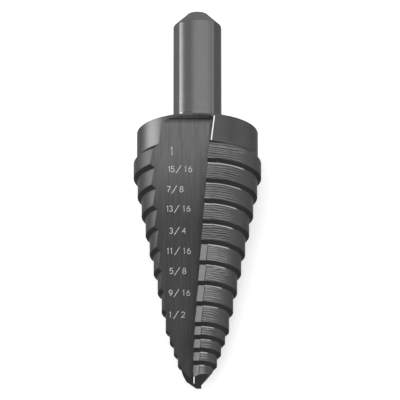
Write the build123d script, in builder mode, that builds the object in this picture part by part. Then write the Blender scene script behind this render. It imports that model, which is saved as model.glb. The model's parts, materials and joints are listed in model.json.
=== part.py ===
from build123d import *
from math import cos, radians, sin, tan
import os

# A step drill: a stepped cone with two straight flutes, a collar and a shank with three flats.
# It is drawn upright on its own axis, with the point at the origin and the shank above it,
# and the middle of the first flute faces -Y. At the end it is laid on its side, as it rests.
# Lengths are in millimetres and angles in degrees.

INCH = 25.4

# Lands, from the smallest at the point to the largest at the collar
land_count = 13
smallest_diameter = INCH / 4
diameter_step = INCH / 16
first_land_top = 3.9
short_land_count = 4
short_pitch = 2.4
long_pitch = 4.0
land_corner_radius = 0.25

# Collar and shank
collar_diameter = 23.9
collar_end = 53.5
shank_diameter = 3 * INCH / 8
overall_length = 78.6
shank_end_diameter = 3.8
shank_chamfer_length = 2.75
flat_count = 3
flat_depth = 0.15
flat_turn = 57.2

# Flutes: each floor lies level along the web near the point, slopes out, and less so at the collar
flute_count = 2
web_thickness = 2.0
level_floor_length = 12.0
floor_slope = 13.2
upper_floor_start = 46.0
upper_floor_slope = 8.0
floor_bend_radius = 20.0
run_out_length = 0.9
run_out_slope = 74.0
run_out_radius = 1.0
flute_corner_radius = 0.8

# Cutting faces: their lead on the axis at the point, their tilt along it and their rake
face_lead = 0.68
face_tilt = 6.45
face_rake = 10.5

# Relief behind the cutting edges: a margin at full size, then a lobe that falls away
margin_width = 1.2
margin_turn = 8.0
relief_step = 0.06
eccentric_relief = 0.05
axial_relief = 0.1
lobe_turn = 30.0

# Point: the lips, the flanks behind them and the gashes that split the web
point_angle = 118.0
lip_relief = 25.0
heel_slope = 51.3
heel_turn = 6.8
gash_lead = 0.78
gash_web_thickness = 0.7
gash_height = 0.4
gash_slope = 20.0

shoulder_height = diameter_step / 2
largest_radius = smallest_diameter / 2 + (land_count - 1) * shoulder_height
collar_radius = collar_diameter / 2
shank_radius = shank_diameter / 2
overlap = shoulder_height
below_point = -overlap
outside = 2 * largest_radius


def compass(turn):
    """Level direction at an angle round the axis from the middle of the first flute."""
    return Vector(sin(radians(turn)), -cos(radians(turn)), 0)


def list_lands():
    """Radius, bottom and top of each land, from the point upward."""
    rows = [(smallest_diameter / 2, below_point, first_land_top)]
    for number in range(1, land_count):
        pitch = short_pitch if number < short_land_count else long_pitch
        radius, _, top = rows[-1]
        rows.append((radius + shoulder_height, top + shoulder_height, top + pitch))
    return rows


lands = list_lands()
lands_end = lands[-1][2]


def stepped_section(origin, direction, inset):
    """Half section of the stepped cone beside its axis, with rounded inner corners."""
    foot_radius = collar_radius - overlap
    foot_height = lands_end + largest_radius - inset - foot_radius
    points = [(0, below_point)]
    for radius, bottom, top in lands:
        points += [(radius - inset, bottom), (radius - inset, top)]
    points += [(foot_radius, foot_height), (0, foot_height)]
    land_tops = [Vector(radius - inset, top) for radius, _, top in lands[:-1]]
    with BuildSketch(Plane(origin, x_dir=direction, z_dir=direction.rotate(Axis.Z, -90))) as section:
        with BuildLine():
            Polyline(*points, close=True)
        make_face()
        fillet([section.vertices().sort_by_distance(spot)[0] for spot in land_tops], land_corner_radius)
    return section.sketch


# Relieved lobe behind one cutting edge: slightly smaller steps about a shifted axis
lobe_origin = compass(margin_turn - 90) * eccentric_relief + Vector(0, 0, axial_relief)
with BuildPart() as lobe:
    revolve(
        stepped_section(lobe_origin, compass(-lobe_turn), relief_step),
        axis=Axis(lobe_origin, (0, 0, 1)),
        revolution_arc=180,
    )

# Plane of the first flute's cutting face
face_plane = Plane(
    origin=(-face_lead, 0, 0),
    x_dir=(tan(radians(face_tilt)), 0, 1),
    z_dir=(1, -tan(radians(face_rake)), -tan(radians(face_tilt))),
)

# Margin: the strip of full-size steps right behind the cutting edge
with BuildPart() as margin:
    revolve(stepped_section(Vector(0, 0, 0), Vector(1, 0, 0), 0), axis=Axis.Z)
    with BuildSketch(face_plane):
        Rectangle(2 * overall_length, 2 * outside)
    extrude(amount=margin_width, mode=Mode.INTERSECT)
    split(bisect_by=Plane.XZ, keep=Keep.TOP)

# Flute: all that lies in front of its floor and ahead of its cutting face
run_out_start = collar_end - run_out_length
upper_floor = web_thickness / 2 + (upper_floor_start - level_floor_length) * tan(radians(floor_slope))
floor_end = upper_floor + (run_out_start - upper_floor_start) * tan(radians(upper_floor_slope))
run_out_end = run_out_start + (outside - floor_end) / tan(radians(run_out_slope))
with BuildPart() as flute:
    with BuildSketch(Plane.YZ) as flute_side:
        with BuildLine():
            Polyline(
                (-outside, below_point),
                (-web_thickness / 2, below_point),
                (-web_thickness / 2, level_floor_length),
                (-upper_floor, upper_floor_start),
                (-floor_end, run_out_start),
                (-outside, run_out_end),
                close=True,
            )
        make_face()
        for bend in ((-web_thickness / 2, level_floor_length), (-upper_floor, upper_floor_start)):
            fillet(flute_side.vertices().sort_by_distance(bend)[0], floor_bend_radius)
        fillet(flute_side.vertices().sort_by_distance((-floor_end, run_out_start))[0], run_out_radius)
    extrude(amount=outside, both=True)
    split(bisect_by=face_plane, keep=Keep.BOTTOM)
    cutting_face = flute.faces().sort_by(Axis(face_plane.origin, face_plane.z_dir))[-1]
    fillet(
        cutting_face.edges().filter_by(lambda edge: edge.center().Y > -floor_end),
        flute_corner_radius,
    )

# Gash: thins the web beside the lip, so that the point is split
gash_start = gash_web_thickness / 2
gash_end = gash_height + (outside - gash_start) / tan(radians(gash_slope))
with BuildPart() as gash:
    with BuildSketch(Plane.YZ.offset(-gash_lead)):
        with BuildLine():
            Polyline(
                (-outside, below_point),
                (-gash_start, below_point),
                (-gash_start, gash_height),
                (-outside, gash_end),
                close=True,
            )
        make_face()
    extrude(amount=-outside)

# Point waste: all that lies below one lip's flank and below the steeper heel behind it
flank_normal = Vector(-tan(radians(lip_relief)), 1 / tan(radians(point_angle / 2)), 1)
heel_normal = Vector(-tan(radians(heel_slope)), 0, 1).rotate(Axis.Z, heel_turn)
chisel = Vector(0, 0, 1).cross(flank_normal)
with BuildPart() as point_waste:
    for normal in (flank_normal, heel_normal):
        above_chisel = chisel - Vector(0, 0, chisel.dot(normal))
        with BuildSketch(Plane((0, 0, 0), x_dir=above_chisel, z_dir=normal)):
            Rectangle(outside, outside, align=(Align.CENTER, Align.MIN))
        extrude(amount=outside, dir=(0, 0, -1))

with BuildPart() as step_drill:
    with PolarLocations(0, flute_count):
        add(lobe.part)
        add(margin.part)
    with BuildSketch(Plane.XY.offset(lands_end - overlap)):
        Circle(collar_radius)
    extrude(amount=collar_end - lands_end + overlap)
    with PolarLocations(0, flute_count):
        add(flute.part, mode=Mode.SUBTRACT)
        add(gash.part, mode=Mode.SUBTRACT)
        add(point_waste.part, mode=Mode.SUBTRACT)
    with BuildSketch(Plane.XY.offset(collar_end - overlap)):
        Circle(shank_radius)
    extrude(amount=overall_length - collar_end + overlap)
    chamfer(
        step_drill.faces().sort_by(Axis.Z)[-1].edges(),
        length=shank_chamfer_length,
        length2=shank_radius - shank_end_diameter / 2,
    )
    with BuildSketch(Plane.XY.offset(collar_end)):
        with PolarLocations(shank_radius - flat_depth, flat_count, start_angle=flat_turn - 90):
            Rectangle(shank_radius, 2 * shank_radius, align=(Align.MIN, Align.CENTER))
    extrude(amount=overall_length - collar_end, mode=Mode.SUBTRACT)


def land_corner(height, direction):
    """Corner of a land's lower rim that lies furthest in a level direction."""
    rim = step_drill.vertices().filter_by_position(Axis.Z, height - overlap / 4, height + overlap / 4)
    return Vector(rim.sort_by(Axis((0, 0, 0), direction))[-1])


# Resting on its side: on the heel corner of the largest land and, across the open second flute,
# on a row of cutting corners, two of which set the floor. The point faces -Y and the shank +Y.
_, largest_bottom, _ = lands[-1]
_, middle_bottom, _ = lands[(short_land_count + land_count) // 2]
heel_corner = land_corner(largest_bottom + axial_relief, (1, 0, 0))
cutting_corner = land_corner(largest_bottom, (0, 1, 0))
middle_corner = land_corner(middle_bottom, (0, 1, 0))
upward = (middle_corner - cutting_corner).cross(heel_corner - cutting_corner)
floor_plane = Plane(cutting_corner, x_dir=Vector(0, 0, 1).cross(upward), z_dir=upward)
resting_drill = floor_plane.to_local_coords(step_drill.part)
resting_box = resting_drill.bounding_box()
resting_drill.position -= (resting_box.center().X, resting_box.center().Y, resting_box.min.Z)
resting_drill.label = "step_drill"

os.makedirs("parts", exist_ok=True)
export_step(resting_drill, "parts/step_drill.step")
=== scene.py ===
import json
from contextlib import contextmanager
from math import cos, pi, radians, sin, tan

import bmesh
import bpy
import numpy as np
from bpy.props import FloatProperty, FloatVectorProperty, IntProperty, PointerProperty
from mathutils import Matrix, Vector

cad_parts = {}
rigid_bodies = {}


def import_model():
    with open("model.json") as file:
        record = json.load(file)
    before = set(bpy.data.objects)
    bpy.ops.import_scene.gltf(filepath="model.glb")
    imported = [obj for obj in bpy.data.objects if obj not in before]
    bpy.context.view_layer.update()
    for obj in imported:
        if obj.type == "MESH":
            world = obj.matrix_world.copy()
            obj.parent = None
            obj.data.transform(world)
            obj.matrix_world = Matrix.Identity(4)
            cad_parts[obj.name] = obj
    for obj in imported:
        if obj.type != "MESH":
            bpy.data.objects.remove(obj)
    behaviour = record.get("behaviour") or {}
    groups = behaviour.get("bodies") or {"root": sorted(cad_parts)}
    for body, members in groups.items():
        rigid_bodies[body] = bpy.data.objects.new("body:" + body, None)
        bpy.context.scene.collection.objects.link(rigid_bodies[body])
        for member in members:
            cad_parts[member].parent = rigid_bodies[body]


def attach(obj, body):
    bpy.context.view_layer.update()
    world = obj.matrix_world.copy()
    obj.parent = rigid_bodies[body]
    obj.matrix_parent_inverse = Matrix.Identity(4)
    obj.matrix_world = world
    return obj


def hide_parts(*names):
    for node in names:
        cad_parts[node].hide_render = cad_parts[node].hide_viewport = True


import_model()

bl_info = {
    "name": "Step Drill",
    "version": (1, 0, 0),
    "blender": (4, 5, 0),
    "location": "View3D > Sidebar > Step Drill",
    "description": "Builds a ground tool steel step drill that lies on its side, with its size numbers",
    "category": "Add Mesh",
}

# The drill is worked out on its own axis, in metres: point at the origin, shank up, and the
# middle of the first flute facing -Y. A compass turn is the angle round the axis from there.
MM = 0.001
# An inch in millimetres, and the parts of it that the size numbers count in
INCH, INCH_PARTS = 25.4, 16
NODE = "step_drill"
FLUTES, FLATS = 2, 3
# Vertices closer than this are merged, and turns closer than this, in radians, are the same
WELD = 0.0002 * MM
SAME_TURN = 1e-6
# Edges that turn by more than this are shaded sharp
SHARP = radians(32)


def linear(hex_colour):
    """sRGB hex to linear RGBA: the lower part is a straight line, the rest a power of 2.4."""
    code = hex_colour.lstrip("#")
    srgb = np.array([int(code[k : k + 2], 16) for k in (0, 2, 4)]) / 255
    rgb = np.where(srgb <= 0.04045, srgb / 12.92, ((srgb + 0.055) / 1.055) ** 2.4)
    return (*rgb.tolist(), 1.0)


def length(name, millimetres, description):
    """A setting in metres whose default is given in millimetres."""
    return FloatProperty(name=name, description=description, default=millimetres * MM, min=0, unit="LENGTH")


def turn(name, degrees, description):
    """A setting in radians whose default is given in degrees."""
    return FloatProperty(name=name, description=description, default=radians(degrees), unit="ROTATION")


def colour(name, hex_colour, description):
    """A colour setting whose default is given in sRGB hex."""
    default = linear(hex_colour)
    return FloatVectorProperty(
        name=name, description=description, default=default, size=4, min=0, max=1, subtype="COLOR"
    )


class DrillSizes(bpy.types.PropertyGroup):
    smallest: length("Smallest diameter", INCH / 4, "Diameter of the land at the point")
    step: length("Diameter step", INCH / INCH_PARTS, "How much wider each land is than the last")
    lands: IntProperty(name="Lands", description="Number of lands", default=13, min=2)
    short_lands: IntProperty(name="Short lands", description="Lands with the short pitch", default=4, min=1)
    first_top: length("First land's top", 3.9, "Height of the first land's top above the point")
    short_pitch: length("Short pitch", 2.4, "Pitch of the lands at the point")
    long_pitch: length("Long pitch", 4.0, "Pitch of the other lands")
    root_radius: length("Root radius", 0.25, "Radius under each shoulder")
    collar: length("Collar diameter", 23.9, "Diameter of the collar")
    collar_end: length("Collar end", 53.5, "Height of the collar's end")
    shank: length("Shank diameter", INCH * 3 / 8, "Diameter of the shank")
    total: length("Overall length", 78.6, "From the point to the shank's end")
    shank_tip: length("Shank tip diameter", 3.8, "Diameter left at the shank's end")
    shank_chamfer: length("Shank chamfer", 2.75, "Length of the shank's chamfer")
    neck: length("Neck", 3.2, "Length of the smoother end of the shank at the collar")
    flat_depth: length("Flat depth", 0.15, "Depth of the three flats on the shank")
    flat_turn: turn("Flat turn", 57.2, "Compass turn of the first flat")
    edge: length("Edge rounding", 0.07, "How far each sharp corner is broken")
    web: length("Web thickness", 2.0, "Thickness between the two flute floors at the point")
    level_floor: length("Level floor", 12.0, "Height at which the flute floor starts to slope")
    floor_slope: turn("Floor slope", 13.2, "Slope of the flute floor")
    upper_floor: length("Upper floor", 46.0, "Height at which the flute floor starts to slope less")
    upper_slope: turn("Upper slope", 8.0, "Slope of the flute floor at the collar")
    floor_bend: length("Floor bend", 20.0, "Radius where the floor starts to slope")
    run_out: length("Run-out length", 0.9, "Length of the run-out below the collar's end")
    run_out_slope: turn("Run-out slope", 74.0, "Slope of the run-out")
    run_out_bend: length("Run-out bend", 1.0, "Radius where the run-out starts")
    corner_radius: length("Flute corner", 0.8, "Radius between the floor and the cutting face")
    face_lead: length("Face lead", 0.68, "How far the cutting face lies off the axis at the point")
    face_tilt: turn("Face tilt", 6.45, "Tilt of the cutting face along the axis")
    face_rake: turn("Face rake", 10.5, "Rake of the cutting face")
    margin: length("Margin width", 1.2, "Width of the full-size strip behind the cutting edge")
    relief: length("Relief", 0.06, "Step down behind the margin")
    eccentric: length("Eccentric relief", 0.05, "How far the lobe's axis is shifted")
    axial_relief: length("Axial relief", 0.1, "How far the lobe's steps are raised")
    margin_turn: turn("Margin turn", 8.0, "Compass turn that sets the lobe's shift")
    point_angle: turn("Point angle", 118.0, "Angle between the two lips")
    lip_relief: turn("Lip relief", 25.0, "Slope of the flank behind a lip")
    heel_slope: turn("Heel slope", 51.3, "Slope of the heel behind a flank")
    heel_turn: turn("Heel turn", 6.8, "Turn of the heel about the axis")
    gash_lead: length("Gash lead", 0.78, "How far the gash lies off the axis")
    gash_web: length("Gash web", 0.7, "Thickness left between the gashes")
    gash_height: length("Gash height", 0.4, "Height at which the gash starts to slope out")
    gash_slope: turn("Gash slope", 20.0, "Slope of the gash off the axis")
    number_height: length("Number height", 1.2, "Height of the size numbers")
    number_stroke: length("Number stroke", 0.14, "Width of the size numbers' strokes")


class DrillColours(bpy.types.PropertyGroup):
    land: colour("Ground land", "#848484", "Land behind the cutting edge, where it is ground")
    groove: colour("Grinding line", "#505050", "Between the ground marks")
    wide_land: colour("Ground wide land", "#787878", "Wide land behind the cutting edge")
    wide_groove: colour("Wide land's line", "#3c3c3c", "Between the ground marks of the wide lands")
    margin: colour("Margin", "#7e7e7e", "Full-size strip behind the cutting edge")
    # Painted highlight: this near-white line under each shoulder stands in for the light that the wheel's
    # corner fillet catches
    root: colour("Root", "#d0d0d0", "Fresh steel where the wheel's corner cut under a shoulder")
    oxide: colour("Oxide", "#505050", "Smooth oxide on the backs of the lands and the collar")
    # Painted highlight: the lighter collar beside the flute's heel stands in for the left lamp's shine there
    heel: colour("Collar's heel", "#666666", "Collar beside the flute's heel, where the oxide is rubbed")
    # Painted shade: this dark colour stands in for the shade on the shoulders and the point
    shoulder: colour("Shoulder", "#343434", "Shoulders and point")
    flute: colour("Flute", "#626262", "Milled floor of the flutes at the collar")
    # Partly painted shade: the flute floor is darker toward the point
    flute_tip: colour("Flute at the point", "#404040", "Milled floor of the flutes at the point")
    # Painted light: this pale band stands in for light on the run-out's steep wall, which faces away from the
    # lamps
    run_out: colour("Run-out", "#a8a8a8", "End of the flutes, where the cutter left them")
    # Painted highlight: this near-white steel stands in for the glint on the collar's cutting edge and the
    # lips' honed lands
    edge: colour("Bright edge", "#dedede", "Steel where an edge is freshly ground")
    shank: colour("Shank", "#6e6e6e", "Turned shank")
    flat: colour("Flat", "#545454", "Milled flats on the shank")
    number: colour("Number", "#d6d6d6", "Etched size numbers")
    floor: colour("Floor", "#e0e0e0", "Floor under the drill")


# The drill at rest: where its point lies, and the way up as a compass turn and a rise of the axis
POINT = np.array([0.0, -38.928895, 4.384427]) * MM
REST_TURN = radians(-19.842947)
REST_RISE = radians(8.694972)


def rest_axes():
    """Rows are the level direction across the drill, its length along the floor, and up."""
    up = np.array([cos(REST_RISE) * sin(REST_TURN), -cos(REST_RISE) * cos(REST_TURN), sin(REST_RISE)])
    across = np.array([cos(REST_TURN), sin(REST_TURN), 0.0])
    return np.array([across, np.cross(up, across), up])


def lay_down(points):
    """From the drill's own axes to where it lies: its axes' rows times each point, plus the point's place."""
    return points @ rest_axes().T + POINT


def unit(vectors):
    """Vectors over their lengths, where a vector of no length stays as it is."""
    return vectors / np.maximum(np.linalg.norm(vectors, axis=-1, keepdims=True), 1e-12)


def bend(corner, back, onward, cut, steps):
    """Rounds a corner with a circle's arc: a rational curve from `cut` before the corner to `cut` after it,
    whose handle is the corner, weighted by the cosine of half the turn."""
    cut = np.asarray(cut, float)[..., None]
    weight = np.sqrt(np.maximum(1 - (back * onward).sum(-1), 0) / 2)[..., None, None]
    s = np.linspace(0, 1, steps)[:, None]
    start, handle, end = ((corner + way * cut)[..., None, :] for way in (back, 0 * back, onward))
    a, b, c = (1 - s) ** 2, 2 * weight * s * (1 - s), s**2
    return (a * start + b * handle + c * end) / (a + b + c)


def between(start, end, share):
    """A straight mix: the start times the rest of the share, plus the end times the share."""
    return start * (1 - share) + end * share


def rounded_path(points, cuts, steps, spans):
    """A path of straight runs: each inner corner becomes an arc of `steps` points, and each run between
    two arcs is divided into `spans` equal parts."""
    points = np.asarray(points, float)
    back = unit(points[:-2] - points[1:-1])
    onward = unit(points[2:] - points[1:-1])
    arcs = bend(points[1:-1], back, onward, cuts, steps)
    share = (np.arange(1, spans) / spans)[:, None]
    runs = between(arcs[:-1, -1:], arcs[1:, :1], share)
    woven = np.concatenate([arcs[:-1], runs], axis=1).reshape(-1, points.shape[1])
    return np.concatenate([points[:1], woven, arcs[-1], points[-1:]])


def land_corners(sizes):
    """Radius and height of both corners of each land, from the point up, and of the collar's foot."""
    count = np.arange(sizes.lands)
    rise = sizes.step / 2
    radius = sizes.smallest / 2 + count * rise
    pitch = np.where(count[1:] < sizes.short_lands, sizes.short_pitch, sizes.long_pitch)
    top = sizes.first_top + np.concatenate([[0], np.cumsum(pitch)])
    bottom = np.concatenate([[-rise], top[:-1] + rise])
    corners = np.stack([np.repeat(radius, 2), np.stack([bottom, top], 1).ravel()], 1)
    foot = [sizes.collar / 2, top[-1] + radius[-1] - sizes.collar / 2]
    return np.concatenate([corners, [foot]])


# What a stretch of the stepped outline is
RIM, WALL, ROOT, SHOULDER, COLLAR = range(5)
# Points on each rounded corner of the outline, and equal parts of each run between two of them
ARC_STEPS = 5
RUN_SPANS = 4


def profile(sizes):
    """The stepped outline as radius and height, with what each stretch between two rows is."""
    corners = np.concatenate([land_corners(sizes), [[sizes.collar / 2, sizes.collar_end]]])
    kinds = np.where(np.arange(len(corners) - 2) % 2 == 0, ROOT, RIM)
    kinds[-2:] = RIM
    cuts = np.where(kinds == ROOT, sizes.root_radius * tan(pi / 8), sizes.edge)
    rows = rounded_path(corners, cuts, ARC_STEPS, RUN_SPANS)[:-1]
    runs = np.where(kinds == ROOT, SHOULDER, WALL)
    woven = np.stack([kinds, runs], 1).repeat([ARC_STEPS - 1, RUN_SPANS], 1).ravel()
    return rows, np.concatenate([[WALL], woven])[: len(rows) - 1]


# Points on each arc of the floor's curve
FLOOR_ARC_STEPS = 33


def floor_curve(sizes):
    """Height against the floor's distance from the middle plane: level, sloped, less sloped, then the
    run-out, with an arc at each bend."""
    start = sizes.web / 2
    upper = start + (sizes.upper_floor - sizes.level_floor) * tan(sizes.floor_slope)
    end_height = sizes.collar_end - sizes.run_out
    end = upper + (end_height - sizes.upper_floor) * tan(sizes.upper_slope)
    points = [
        (-sizes.total, start),
        (sizes.level_floor, start),
        (sizes.upper_floor, upper),
        (end_height, end),
        (end_height + sizes.collar, end + sizes.collar * tan(sizes.run_out_slope)),
    ]
    cuts = [
        sizes.floor_bend * tan(sizes.floor_slope / 2),
        sizes.floor_bend * tan((sizes.floor_slope - sizes.upper_slope) / 2),
        sizes.run_out_bend * tan((sizes.run_out_slope - sizes.upper_slope) / 2),
    ]
    return rounded_path(points, cuts, FLOOR_ARC_STEPS, 1)


def floor_depth(height, sizes):
    """Distance of a flute's floor from the middle plane at a height, read off the floor's curve."""
    curve = floor_curve(sizes)
    return np.interp(height, curve[:, 0], curve[:, 1])


def face_offset(height, sizes):
    """How far the cutting face lies off the axis at a height: its tilt's tangent times the height, less
    its lead at the point."""
    return tan(sizes.face_tilt) * height - sizes.face_lead


def edge_turn(radius, offset, sizes):
    """Compass turn at which a circle meets the plane of the cutting face, or one parallel to it: the
    arcsine of the plane's distance from the axis over the circle's radius, less the rake."""
    rake = tan(sizes.face_rake)
    return np.arcsin(offset / (radius * np.hypot(1, rake))) - sizes.face_rake


# Rows of the collar: how many run-outs below its end the open flute starts to close, and how many even
# rows, rows of equal turns, full rings and tries for the end of the cutting face there are
CLOSING_START = 1.8
EVEN_ROWS, CLOSING_ROWS, FULL_ROWS, FACE_TRIES = 8, 18, 3, 400


def collar_rows(sizes):
    """Rows up the collar: even ones to the run-out, then levels at which the open flute narrows
    by equal turns, one at which its cutting face ends, and the full ring above."""
    radius = sizes.collar / 2
    foot = land_corners(sizes)[-1, 1] + 2 * sizes.edge
    bend_start = sizes.collar_end - CLOSING_START * sizes.run_out
    even = np.linspace(foot, bend_start, EVEN_ROWS)[1:]
    curve = floor_curve(sizes)
    curve = curve[curve[:, 1] > sizes.web]
    half_turns = np.linspace(np.arccos(floor_depth(bend_start, sizes) / radius), 0, CLOSING_ROWS)[1:]
    closing = np.interp(radius * np.cos(half_turns), curve[:, 1], curve[:, 0])
    dense = np.linspace(bend_start, closing[-1], FACE_TRIES)
    edge_depth = radius * np.cos(edge_turn(radius, face_offset(dense, sizes), sizes))
    face_end = dense[np.argmax(floor_depth(dense, sizes) >= edge_depth)]
    full = np.linspace(closing[-1], sizes.collar_end - 2 * sizes.edge, FULL_ROWS)[1:]
    height = np.unique(np.concatenate([even, closing, [face_end], full]))
    return np.stack([np.full(len(height), radius), height], 1)


# Parts of half a ring, in their order round it, and how many columns each has
FLOOR, CORNER, FACE, CUTTING_EDGE, MARGIN, LAND, HEEL = range(7)
COLUMNS = {FLOOR: 10, CORNER: 7, FACE: 6, CUTTING_EDGE: 4, MARGIN: 6, LAND: 60, HEEL: 4}
EDGE_COLUMN = COLUMNS[FLOOR] + COLUMNS[CORNER] + COLUMNS[FACE]
# Lands with a larger radius are ground up to the cutting edge, and smaller ones keep a smooth margin
SMOOTH_MARGIN_RADIUS = 9.1 * MM
# Width of the step behind a margin, in times its depth, on the smaller lands and on the wider ones
STEP_WIDTH = 2.5
SMOOTHED_STEP_WIDTH = 10.0
# Most that a rounding may take: heel and corner of the floor's width, corner and edge of the face's height
HEEL_SHARE, FLOOR_SHARE, FACE_SHARE, EDGE_SHARE = 0.2, 0.6, 0.9, 0.08
# In run-outs, how far below its start the corner's rounding begins to fade, and the narrowest margin in
# widths of the edge's rounding
FADE_SHARE = 0.6
LEAST_MARGIN = 1.5


def column_shares(part):
    """How far each column of a part of the outline lies from the part's start to its end."""
    return np.linspace(0, 1, COLUMNS[part] + 1)[None, 1:]


def half_ring(rows, sizes):
    """Half of the drill's outline at each row, round from the first flute's floor to the second flute:
    the floor, an arc up to the cutting face, the face, the cutting edge, the margin at full radius, and
    the relieved lobe, whose radius falls with the cosine of the turn from its shift. The other half is
    this one turned by 180 degrees."""
    radius, height = rows.T
    last_top, foot = land_corners(sizes)[-2:, 1]
    relieved = np.clip((foot - height) / (foot - last_top), 0, 1)
    raised_share = np.clip((last_top - height) / (sizes.long_pitch / 2), 0, 1)
    shift_turn = sizes.margin_turn - pi / 2
    lobe_height = height + raised_share * sizes.axial_relief

    def lobe_radius(turns, level=slice(None)):
        shift = sizes.eccentric * np.cos(turns - shift_turn)
        return radius[level] - relieved[level] * (sizes.relief - shift)

    # Heel of the lobe, where its circle meets the other flute's floor
    heel_depth = floor_depth(lobe_height, sizes)
    heel_turn = pi - np.arccos(np.clip(heel_depth / radius, -1, 1))
    heel_turn = pi - np.arccos(np.clip(heel_depth / lobe_radius(heel_turn), -1, 1))
    heel_radius = lobe_radius(heel_turn)
    # Cutting edge, which ends where the run-out passes it
    depth = np.minimum(floor_depth(height, sizes), radius)
    offset = face_offset(height, sizes)
    rake = tan(sizes.face_rake)
    cut_turn = edge_turn(radius, offset, sizes)
    is_open = depth < radius * np.cos(cut_turn)
    closed_turn = np.arccos(np.clip(depth / radius, -1, 1))
    cut_turn = np.where(is_open, cut_turn, closed_turn)
    corner_x = np.where(is_open, offset - rake * depth, radius * np.sin(closed_turn))
    face_height = np.where(is_open, (radius * np.cos(cut_turn) - depth) * np.hypot(1, rake), 0)
    heel_x = -heel_radius * np.sin(heel_turn)
    heel_cut = np.minimum(sizes.edge, HEEL_SHARE * (corner_x - heel_x))
    corner_cut = sizes.corner_radius / tan((pi / 2 - sizes.face_rake) / 2)
    corner_cut = np.minimum(corner_cut, FACE_SHARE * face_height)
    corner_cut = np.minimum(corner_cut, FLOOR_SHARE * (corner_x - heel_x))
    run_out_start = sizes.collar_end - sizes.run_out
    corner_cut *= np.clip((run_out_start - height) / (FADE_SHARE * sizes.run_out), 0, 1)
    edge_cut = np.minimum(sizes.edge, EDGE_SHARE * face_height)

    toward_heel = np.broadcast_to([-1.0, 0.0], (len(rows), 2))
    outward = np.broadcast_to(np.array([-rake, -1.0]) / np.hypot(1, rake), (len(rows), 2))

    def raised(flat, heights):
        return np.concatenate([flat, np.broadcast_to(heights[:, None, None], (*flat.shape[:2], 1))], -1)

    def on_circle(radii, turns):
        return np.stack([radii * np.sin(turns), -radii * np.cos(turns)], -1)

    def rounded(corner, back, onward, cut, part, heights):
        return raised(bend(corner, back, onward, cut, COLUMNS[part] + 1)[:, 1:], heights)

    share = column_shares(FLOOR)
    start_x, end_x = (heel_x + heel_cut)[:, None], (corner_x - corner_cut)[:, None]
    floor_height = between(lobe_height[:, None], height[:, None], share)
    floor_y = -np.minimum(floor_depth(floor_height, sizes), radius[:, None])
    floor = np.stack([between(start_x, end_x, share), floor_y, floor_height], -1)

    foot_corner = np.stack([corner_x, -depth], -1)
    corner = rounded(foot_corner, toward_heel, outward, corner_cut, CORNER, height)

    top_corner = on_circle(radius, cut_turn)
    face_start = (foot_corner + outward * corner_cut[:, None])[:, None]
    face_end = (top_corner - outward * edge_cut[:, None])[:, None]
    face = raised(between(face_start, face_end, column_shares(FACE)[..., None]), height)

    ahead = np.stack([np.cos(cut_turn), np.sin(cut_turn)], -1)
    edge = rounded(top_corner, -outward, ahead, edge_cut, CUTTING_EDGE, height)

    slab = offset + sizes.margin * np.sqrt(1 + rake**2 + tan(sizes.face_tilt) ** 2)
    margin_end = np.maximum(edge_turn(radius, slab, sizes), cut_turn + LEAST_MARGIN * edge_cut / radius)
    margin_start = (cut_turn + edge_cut / radius)[:, None]
    turns = between(margin_start, margin_end[:, None], column_shares(MARGIN))
    margin = raised(on_circle(radius[:, None], turns), height)

    step_width = np.where(radius < SMOOTH_MARGIN_RADIUS, STEP_WIDTH, SMOOTHED_STEP_WIDTH) * sizes.relief
    land_start = (margin_end + step_width / radius)[:, None]
    land_end = (heel_turn - heel_cut / radius)[:, None]
    turns = between(land_start, land_end, np.linspace(0, 1, COLUMNS[LAND])[None])
    land = raised(on_circle(lobe_radius(turns, (slice(None), None)), turns), lobe_height)

    heel_corner = on_circle(heel_radius, heel_turn)
    behind = -np.stack([np.cos(heel_turn), np.sin(heel_turn)], -1)
    heel = rounded(heel_corner, behind, toward_heel, heel_cut, HEEL, lobe_height)
    return np.concatenate([floor, corner, face, edge, margin, land, heel], axis=1)


# Roundings of the collar's rim, the shank's foot, its neck, its chamfer and its end, in widths of a broken
# edge, and equal parts of each run between them
SHANK_CUTS = (1.5, 2, 1, 3, 2)
SHANK_SPANS = 6


def shank_rows(sizes):
    """Radius and height from the collar's end face, across it, up the shank and over its chamfer."""
    foot = sizes.shank / 2
    corners = [
        (sizes.collar / 2, sizes.collar_end - 2 * sizes.edge),
        (sizes.collar / 2, sizes.collar_end),
        (foot, sizes.collar_end),
        (foot, sizes.collar_end + sizes.neck),
        (foot, sizes.total - sizes.shank_chamfer),
        (sizes.shank_tip / 2, sizes.total),
        (0, sizes.total),
    ]
    cuts = np.array(SHANK_CUTS) * sizes.edge
    return rounded_path(corners, cuts, ARC_STEPS, SHANK_SPANS)[1:]


def flat_half_turn(sizes):
    """Half the turn that a flat takes of the shank: the arccosine of its distance over the radius."""
    return np.arccos(1 - 2 * sizes.flat_depth / sizes.shank)


def flat_middles(sizes):
    """Compass turn of the middle of each flat, evenly spaced from the first."""
    return sizes.flat_turn + np.arange(FLATS) * 2 * pi / FLATS


def flat_turns(turns, sizes):
    """Turn from the middle of each flat, one row for each flat, between half a turn back and ahead."""
    return (turns[None] - flat_middles(sizes)[:, None] + pi) % (2 * pi) - pi


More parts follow.
